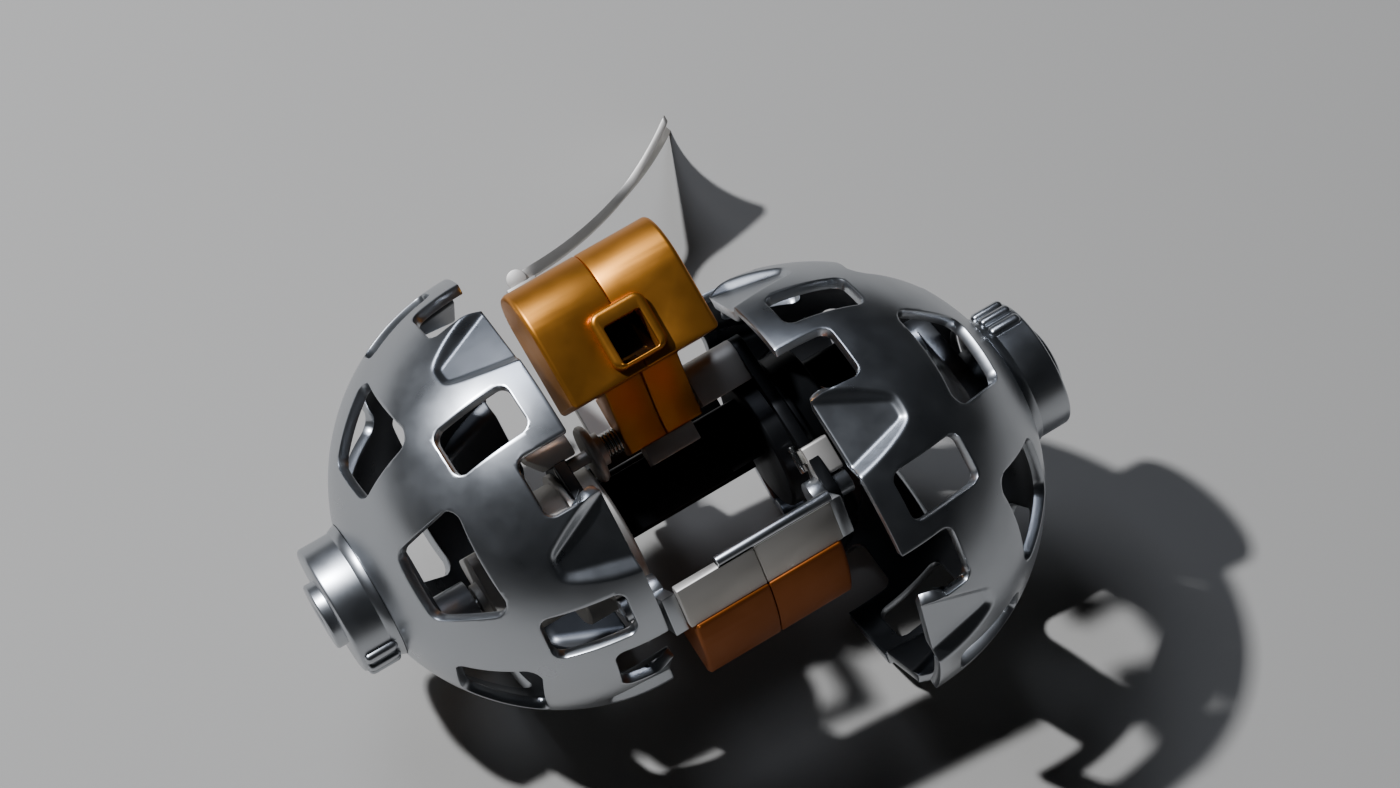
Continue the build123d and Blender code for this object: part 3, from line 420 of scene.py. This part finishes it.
def cleatPlanes():
    # the wedge's flat floor and its leaning walls, as planes (normal, distance)
    radius, cleat = wheelShell["radius"], wheelShell["cleat"]
    turn = radians(cleat["turn"])
    level = Vector((cos(turn), sin(turn), 0))
    along = Vector((-sin(turn), cos(turn), 0))
    top = radius * cos(radians(cleat["start"]))
    slope = atan2(radius * sin(radians(cleat["start"])) - radius + cleat["depth"], top)
    length = top / cos(slope)
    facing = level * cos(slope) + Vector((0, 0, 1)) * sin(slope)
    up = Vector((0, 0, 1)) * cos(slope) - level * sin(slope)
    base = level * (radius - cleat["depth"])
    below = cleat["pastRim"]
    flare = (cleat["low"] - cleat["high"]) / 2 / length
    low, high = cleat["low"] / 2 + flare * below, cleat["high"] / 2
    corners = [(-low, -below), (low, -below), (high, length), (-high, length)]
    lines = roundedOutline(corners, [0, 0, cleat["corner"], cleat["corner"]], cleat["rounding"])
    lean = radians(cleat["lean"])
    walls = []
    for normal, limit, centre in lines[1:-1]:
        outward = along * normal[0] + up * normal[1]
        crease = base + outward * limit
        wall = outward * cos(lean) - facing * sin(lean)
        walls.append((wall, wall.dot(crease)))
    return (facing, facing.dot(base)), walls


def softMax(first, second, blend):
    # the larger of two lengths, with the change from one to the other rounded
    share = np.clip(0.5 + (first - second) / (2 * blend), 0, 1)
    return second + (first - second) * share + blend * share * (1 - share)


def pressed(points):
    # presses the wedge into the ball along each point's own radius, with soft creases and brinks
    radius, cleat = wheelShell["radius"], wheelShell["cleat"]
    floorPlane, walls = cleatPlanes()
    radial = points / np.linalg.norm(points, axis=1)[:, None]
    reach = None
    for normal, limit in [floorPlane] + walls:
        share = radial @ np.array(normal)
        share = np.maximum(share, 1e-6) if limit > 0 else np.minimum(share, -1e-6)
        planeReach = np.minimum(limit / share, 2 * radius)
        reach = planeReach if reach is None else softMax(reach, planeReach, cleat["crease"])
    return radial * -softMax(np.full(len(reach), -radius), -reach, cleat["brink"])[:, None]


def outlineOf(mesh):
    # the end points of every line, and which points lie on the rim or round an opening
    edgeOf = np.zeros(len(mesh.loops), dtype=int)
    mesh.loops.foreach_get("edge_index", edgeOf)
    ends = np.zeros(len(mesh.edges) * 2, dtype=int)
    mesh.edges.foreach_get("vertices", ends)
    ends = ends.reshape(-1, 2)
    outline = np.zeros(len(mesh.vertices), dtype=bool)
    outline[ends[np.bincount(edgeOf, minlength=len(ends)) == 1].ravel()] = True
    return ends, outline


def drawToOutline(mesh):
    # draws loose points that lie too near an outline into its nearest point
    points = vertexPoints(mesh)
    ends, outline = outlineOf(mesh)
    tree = KDTree(int(outline.sum()))
    for index in np.flatnonzero(outline):
        tree.insert(points[index], index)
    tree.balance()
    linesOf = {index: [] for index in np.flatnonzero(outline)}
    for first, second in ends[outline[ends].all(axis=1)]:
        linesOf[first].append(second)
        linesOf[second].append(first)
    merge = wheelShell["merge"]
    for index in np.flatnonzero(~outline):
        loose = Vector(points[index])
        nearby = tree.find_range(loose, 3 * merge)
        if not nearby:
            continue
        gaps = [nearby[0][2]]
        for spot, start, _ in nearby:
            for end in linesOf[start]:
                onLine, share = intersect_point_line(loose, spot, Vector(points[end]))
                if 0 < share < 1:
                    gaps.append((loose - onLine).length)
        if min(gaps) < merge:
            points[index] = min(nearby, key=lambda found: found[2])[0]
    mesh.vertices.foreach_set("co", points.ravel())


def tidyOutlines(shell):
    # joins what lies too near the outlines, then takes out the faces that this stood on edge
    mesh = shell.data
    drawToOutline(mesh)
    bpy.ops.object.mode_set(mode="EDIT")
    bpy.ops.mesh.select_all(action="SELECT")
    bpy.ops.mesh.remove_doubles(threshold=wheelShell["weld"])
    bpy.ops.mesh.select_all(action="SELECT")
    bpy.ops.mesh.dissolve_degenerate(threshold=wheelShell["sliver"])
    bpy.ops.mesh.select_all(action="SELECT")
    bpy.ops.mesh.normals_make_consistent(inside=False)
    bpy.ops.object.mode_set(mode="OBJECT")
    facing = np.zeros(len(mesh.polygons) * 3)
    mesh.polygons.foreach_get("normal", facing)
    centres = faceCentres(mesh)
    outwards = np.sum(facing.reshape(-1, 3) * centres, axis=1) / np.linalg.norm(centres, axis=1)
    pickFaces(shell, outwards < wheelShell["standing"])
    bpy.ops.mesh.delete(type="FACE")
    bpy.ops.object.mode_set(mode="OBJECT")


def buildSector():
    # an arc from the hub's seat to the rim, spun through one sector of the ball
    radius, seat, circle = wheelShell["radius"], wheelShell["seat"], wheelShell["circle"]
    bpy.ops.object.select_all(action="DESELECT")
    bpy.ops.mesh.primitive_circle_add(
        vertices=circle, radius=radius, location=(0, 0, 0), rotation=(radians(90), 0, 0))
    sector = bpy.context.object
    bpy.ops.object.transform_apply(location=True, rotation=True, scale=True)
    points = vertexPoints(sector.data)
    fromPole = np.degrees(np.arctan2(points[:, 0], points[:, 2]))
    halfStep = 180 / circle
    seatTurn = degrees(acos(seat / radius))
    bpy.ops.object.mode_set(mode="EDIT")
    bpy.ops.mesh.select_mode(type="VERT")
    bpy.ops.mesh.select_all(action="DESELECT")
    bpy.ops.object.mode_set(mode="OBJECT")
    sector.data.vertices.foreach_set("select", (fromPole < seatTurn - halfStep) | (fromPole > 90 + halfStep))
    bpy.ops.object.mode_set(mode="EDIT")
    bpy.ops.mesh.delete(type="VERT")
    bpy.ops.object.mode_set(mode="OBJECT")
    highest = int(np.argmax(vertexPoints(sector.data)[:, 2]))
    sector.data.vertices[highest].co = (sqrt(radius ** 2 - seat ** 2), 0, seat)
    bpy.ops.object.mode_set(mode="EDIT")
    bpy.ops.mesh.select_all(action="SELECT")
    bpy.ops.mesh.spin(
        steps=circle // wheelShell["sectors"], angle=radians(-360 / wheelShell["sectors"]),
        center=(0, 0, 0), axis=(0, 0, 1))
    bpy.ops.object.mode_set(mode="OBJECT")
    return sector


def refineCleat(sector):
    fine = wheelShell["fine"]
    centres = faceCentres(sector.data)
    turns = np.degrees(np.arctan2(centres[:, 1], centres[:, 0]))
    fromPole = np.degrees(np.arccos(centres[:, 2] / np.linalg.norm(centres, axis=1)))
    pickFaces(sector, (turns > fine["first"]) & (turns < fine["last"]) & (fromPole > fine["lowest"]))
    bpy.ops.mesh.subdivide(number_cuts=fine["cuts"])
    bpy.ops.object.mode_set(mode="OBJECT")


def pressCleat(sector):
    points = vertexPoints(sector.data)
    atRim = points[:, 2] < 1e-7
    points = pressed(points)
    points[atRim, 2] = 0
    sector.data.vertices.foreach_set("co", points.ravel())


def buildShell():
    shell = buildSector()
    refineCleat(shell)
    for name in ("rimWindow", "polarWindow"):
        window = wheelShell[name]
        for turn in window["turns"]:
            cutOpening(shell, windowAxes(window, turn), windowLines(window))
    cutNotch(shell)
    pressCleat(shell)
    sectors = wheelShell["sectors"]
    bpy.ops.object.mode_set(mode="EDIT")
    bpy.ops.mesh.select_mode(type="VERT")
    bpy.ops.mesh.select_all(action="SELECT")
    bpy.ops.mesh.spin(
        steps=sectors - 1, dupli=True, angle=radians(360 - 360 / sectors), center=(0, 0, 0), axis=(0, 0, 1))
    bpy.ops.mesh.select_all(action="SELECT")
    bpy.ops.mesh.remove_doubles(threshold=wheelShell["seam"])
    bpy.ops.mesh.normals_make_consistent(inside=False)
    bpy.ops.object.mode_set(mode="OBJECT")
    tidyOutlines(shell)
    applyModifier(shell, "SOLIDIFY", thickness=wheelShell["wall"], offset=-1)
    roundEdges(shell, wheelShell["edge"], above=48)
    return shell


rightShell = buildShell()
leftShell = copyOf(rightShell, "wheelShellLeft")
place(rightShell, wheelPlace(1, wheelShell["rightTurn"]))
place(leftShell, wheelPlace(-1, wheelShell["leftTurn"]))
satinRight, satinLeft = satinWheel("satinAluminiumRight", 1), satinWheel("satinAluminiumLeft", -1)
settle(rightShell, "wheelShellRight", "wheel_right", "aluminium", "wheel_shell_right", finish=satinRight)
settle(leftShell, "wheelShellLeft", "wheel_left", "aluminium", "wheel_shell_left", finish=satinLeft)
print("stage: wheel shells", len(rightShell.data.polygons))

# wheel hubs: a stepped drum with a dimpled boss and three keys along its side
drumRadius = 0.0120
wheelHub = {
    "sides": 128, "edge": 0.00010,
    "rings": [  # radius and height above the rim's plane, from the seat outwards and down the dimple
        (0.0080, 0.0379), (0.01278, 0.0379), (0.01225, 0.0393), (drumRadius, 0.0396), (drumRadius, 0.0451),
        (0.0118, 0.0455), (0.0114, 0.0457), (0.0062, 0.0457), (0.0062, 0.0474), (0.0059, 0.0477),
        (0.0026, 0.0477), (0.0022, 0.0473), (0.0022, 0.0463), (0.0012, 0.0459)],
    "keys": 3, "pitch": 16.0, "width": 0.0022, "proud": 0.0011, "length": 0.0062, "height": 0.0420,
    "round": 0.0009,
    "rightTurn": 48.0,  # how far round the right hub's keys stand
}


def selectPlaces(piece, chosen, kind="VERT"):
    # leaves edit mode on, with exactly the points or edges whose places are all chosen
    bpy.ops.object.mode_set(mode="EDIT")
    bpy.ops.mesh.select_mode(type=kind)
    bpy.ops.mesh.select_all(action="DESELECT")
    bpy.ops.object.mode_set(mode="OBJECT")
    mesh = piece.data
    if kind == "VERT":
        for point in mesh.vertices:
            point.select = chosen(point.co)
    else:
        for edge in mesh.edges:
            first, second = (mesh.vertices[end].co for end in edge.vertices)
            edge.select = chosen(first) and chosen(second)
    bpy.ops.object.mode_set(mode="EDIT")


def turnRings(rings, sides):
    # turns a round piece from its first ring up, each ring extruded and drawn to its radius and height
    firstRadius, firstHeight = radius, height = rings[0]
    bpy.ops.object.select_all(action="DESELECT")
    bpy.ops.mesh.primitive_circle_add(vertices=sides, radius=radius, location=(0, 0, height))
    piece = bpy.context.object
    bpy.ops.object.transform_apply(location=True, rotation=True, scale=True)
    bpy.ops.object.mode_set(mode="EDIT")
    bpy.ops.mesh.select_mode(type="EDGE")
    bpy.ops.mesh.select_all(action="SELECT")
    for nextRadius, nextHeight in rings[1:]:
        bpy.ops.mesh.extrude_region_move(TRANSFORM_OT_translate={"value": (0, 0, nextHeight - height)})
        share = nextRadius / radius
        bpy.ops.transform.resize(value=(share, share, 1), center_override=(0, 0, nextHeight))
        radius, height = nextRadius, nextHeight
    bpy.ops.mesh.edge_face_add()
    bpy.ops.object.mode_set(mode="OBJECT")
    selectPlaces(piece, lambda point: abs(point.z - firstHeight) < 1e-7 and abs(
        hypot(point.x, point.y) - firstRadius) < 1e-7)
    bpy.ops.mesh.edge_face_add()
    bpy.ops.mesh.select_all(action="SELECT")
    bpy.ops.mesh.normals_make_consistent(inside=False)
    bpy.ops.object.mode_set(mode="OBJECT")
    return piece


def addBlock(centre, size, turn=0.0):
    bpy.ops.object.select_all(action="DESELECT")
    bpy.ops.mesh.primitive_cube_add(size=1, location=centre, rotation=(0, 0, radians(turn)))
    block = bpy.context.object
    block.scale = size
    bpy.ops.object.transform_apply(location=True, rotation=True, scale=True)
    return block


def buildHub():
    setting = wheelHub
    hub = turnRings(setting["rings"], setting["sides"])
    keys = []
    for index in range(setting["keys"]):
        turn = (index - (setting["keys"] - 1) / 2) * setting["pitch"]
        centre = Matrix.Rotation(radians(turn), 3, "Z") @ Vector((drumRadius, 0, setting["height"]))
        key = addBlock(centre, (2 * setting["proud"], setting["width"], setting["length"]), turn)
        applyModifier(key, "BEVEL", width=setting["round"], segments=4, limit_method="NONE")
        keys.append(key)
    for key in keys:
        applyModifier(hub, "BOOLEAN", operation="UNION", solver="EXACT", object=key)
        bpy.data.objects.remove(key)
    bpy.ops.object.mode_set(mode="EDIT")
    bpy.ops.mesh.select_all(action="SELECT")
    bpy.ops.mesh.normals_make_consistent(inside=False)
    bpy.ops.object.mode_set(mode="OBJECT")
    roundEdges(hub, setting["edge"], above=36)
    return hub


rightHub = buildHub()
leftHub = copyOf(rightHub, "wheelHubLeft")
place(rightHub, wheelPlace(1, hubTurn(1) + wheelHub["rightTurn"]))
place(leftHub, wheelPlace(-1, hubTurn(-1)))
settle(rightHub, "wheelHubRight", "wheel_right", "aluminium", "wheel_hub_right", finish=satinRight)
settle(leftHub, "wheelHubLeft", "wheel_left", "aluminium", "wheel_hub_left", finish=satinLeft)
print("stage: wheel hubs", len(rightHub.data.polygons))

# hinge of the head, in the body's own frame: the spring's closed turns, and the rounded disc with its collar
headHinge = {
    "y": -0.0080, "z": 0.0130, "sides": 72, "edge": 0.00010,
    "springStart": -0.0106, "turns": 5, "pitch": 0.000656, "radius": 0.0023, "core": 0.0017, "steps": 8,
    "disc": [  # radius and place across the body, from the outer side inwards
        (0.0030, -0.0136), (0.0050, -0.0136), (0.0054, -0.0131), (0.0054, -0.0125), (0.0050, -0.0120),
        (0.0030, -0.0120), (0.0030, -0.0106)],
}
# clamp block on the hinge's left, with a round front edge and a sloped end
clampBlock = {
    "low": (-0.0234, -0.0106, 0.0144), "high": (-0.0154, -0.0026, 0.0190), "round": 0.0024, "segments": 8,
    "slopeAt": (-0.0234, 0, 0.0176), "slope": (-0.8, 0, -0.6), "edge": 0.00035,
}


def springRings():
    # each closed turn swells from the core to the full radius and back
    setting = headHinge
    rings = []
    for turn in range(setting["turns"]):
        for step in range(1 if turn else 0, setting["steps"] + 1):
            angle = radians(180 * step / setting["steps"])
            swell = setting["core"] + (setting["radius"] - setting["core"]) * sin(angle)
            rings.append((swell, setting["springStart"] + setting["pitch"] * (turn + (1 - cos(angle)) / 2)))
    return rings


def buildClamp():
    setting = clampBlock
    low, high = Vector(setting["low"]), Vector(setting["high"])
    block = addBlock((low + high) / 2, high - low)
    bpy.ops.object.mode_set(mode="EDIT")
    bpy.ops.mesh.select_all(action="SELECT")
    bpy.ops.mesh.bisect(
        plane_co=setting["slopeAt"], plane_no=setting["slope"], use_fill=True, clear_outer=True,
        threshold=1e-6)
    selectPlaces(block, lambda spot: abs(spot.y - low.y) < 1e-6 and abs(spot.z - high.z) < 1e-6, "EDGE")
    bpy.ops.mesh.bevel(offset=setting["round"], segments=setting["segments"], affect="EDGES")
    bpy.ops.object.mode_set(mode="OBJECT")
    roundEdges(block, setting["edge"], above=25)
    return block


hingePlace = (
    roverPlace @ Matrix.Translation((0, headHinge["y"], headHinge["z"]))
    @ Matrix.Rotation(radians(90), 4, "Y"))
hingeBody = frame["nodes"]["hinge_spring"]["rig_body"]
spring = turnRings(springRings(), headHinge["sides"])
shadeAcross(spring, 40)
disc = turnRings(headHinge["disc"], headHinge["sides"])
roundEdges(disc, headHinge["edge"], above=20)
clamp = buildClamp()
for piece, matrix in ((spring, hingePlace), (disc, hingePlace), (clamp, roverPlace)):
    place(piece, matrix)
settle(spring, "hingeSpring", hingeBody, "steel", "hinge_spring")
settle(disc, "hingeCollar", hingeBody, "aluminium", "hinge_collar", finish=blastedAluminium)
settle(clamp, "hingeClampLeft", hingeBody, "aluminium", "hinge_block_left", finish=blastedAluminium)
print("stage: head hinge")

# every other solid keeps its own shape and gets softened edges, on a merged copy
softened = {
    "edge": 0.00018, "merge": 0.000005, "flat": 0.5,  # faces that turn by less than half a degree join
    "wider": {
        "head_left": 0.00035, "head_right": 0.00035, "chin_left": 0.00035, "chin_right": 0.00035,
        "chin_strip_left": 0.00022, "chin_strip_right": 0.00022},
    "blasted": (
        "chin_strip_left", "chin_strip_right", "chin_lug_left", "chin_lug_right", "head_stop", "hinge_pin",
        "hinge_block_right", "motor_left", "tail_arm", "tail_clamp", "tail_blade"),
    "machined": ("chin_edge_rod",),
    # the right motor takes the black finish as painted shade, for the dark under the head where no lamp
    # reaches
    "black": ("motor_right",),
    # the chin halves take the darkened orange, painted shade for their shaded faces
    "coated": ("chin_left", "chin_right"),
}


def softenNode(node):
    piece = copyOf(frame["nodes"][node], node)
    onlySelect(piece)
    bpy.ops.object.mode_set(mode="EDIT")
    bpy.ops.mesh.select_all(action="SELECT")
    bpy.ops.mesh.remove_doubles(threshold=softened["merge"])
    bpy.ops.mesh.select_all(action="SELECT")
    bpy.ops.mesh.dissolve_limited(angle_limit=radians(softened["flat"]))
    bpy.ops.mesh.select_all(action="SELECT")
    bpy.ops.mesh.normals_make_consistent(inside=False)
    bpy.ops.object.mode_set(mode="OBJECT")
    roundEdges(piece, softened["wider"].get(node, softened["edge"]))
    return piece


finishOf = {
    node: finish
    for kind, finish in (
        ("blasted", blastedAluminium), ("machined", machinedAluminium),
        ("black", blackAnodised), ("coated", roughOrangePaintedShade))
    for node in softened[kind]}
done = {name for thing in bpy.data.objects for name in thing.get("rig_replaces", [])}
slotOf = {part["node"]: part["material_slot"] for part in frame["record"]["subparts"]}
for node in sorted(set(frame["nodes"]) - done):
    words = node.split("_")
    name = words[0] + "".join(word.capitalize() for word in words[1:])
    body = frame["nodes"][node]["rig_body"]
    settle(softenNode(node), name, body, slotOf[node], node, finish=finishOf.get(node))
print("stage: solids softened")

# camera, at the photograph's angle and distance, moved aside and up until the frame matches
cameraSetup = {
    "elevation": 60.0, "distance": 0.600, "aside": 0.00235, "above": 0.01591, "lens": 88.71, "sensor": 36}
elevation = radians(cameraSetup["elevation"])
toCamera = Vector((0, -cos(elevation), sin(elevation)))
upInView = Vector((0, sin(elevation), cos(elevation)))
aside = Vector((cameraSetup["aside"], 0, 0))
bpy.ops.object.camera_add(
    location=axleMiddle + toCamera * cameraSetup["distance"] + aside + upInView * cameraSetup["above"],
    rotation=(radians(90 - cameraSetup["elevation"]), 0, 0))
camera = bpy.context.object
camera.name = "photoCamera"
camera.data.lens = cameraSetup["lens"]
camera.data.sensor_width = cameraSetup["sensor"]
camera.data.clip_start = 0.01
bpy.context.scene.camera = camera
print("stage: camera placed")

# floor: matt painted board, pale and even
studio = {"floorSize": 3.0, "floor": "#A29F9A", "floorRough": 0.9, "air": "#A9B0BA", "airStrength": 0.022}
bpy.ops.mesh.primitive_plane_add(size=studio["floorSize"], location=(0, 0, 0))
studioFloor = bpy.context.object
studioFloor.name = "studioFloor"
paleFloor, shader = newMaterial("paleStudioFloor")
shader.inputs["Base Color"].default_value = toLinear(studio["floor"])
shader.inputs["Roughness"].default_value = studio["floorRough"]
studioFloor.data.materials.append(paleFloor)

# lights: a small key from behind on the left throws the crisp shadow to the lower right, a soft one fills
lights = [
    {"name": "keyLamp", "place": (-0.748, 0.130, 1.12), "size": 0.055, "power": 27.0, "colour": "#F4F8FF"},
    {"name": "backSoftbox", "place": (-0.31, 0.43, 0.88), "size": 0.38, "power": 2.7, "colour": "#E4EDFF"},
]
for light in lights:
    spot = Vector(light["place"])
    bpy.ops.object.light_add(type="AREA", location=spot, rotation=spot.to_track_quat("Z", "Y").to_euler())
    lamp = bpy.context.object
    lamp.name = light["name"]
    lamp.data.size = light["size"]
    lamp.data.energy = light["power"]
    lamp.data.color = toLinear(light["colour"])[:3]

studioWorld = bpy.data.worlds.new("studioWorld")
bpy.context.scene.world = studioWorld
studioWorld.use_nodes = True
air = studioWorld.node_tree.nodes["Background"]
air.inputs["Color"].default_value = toLinear(studio["air"])
air.inputs["Strength"].default_value = studio["airStrength"]
print("stage: studio lit")
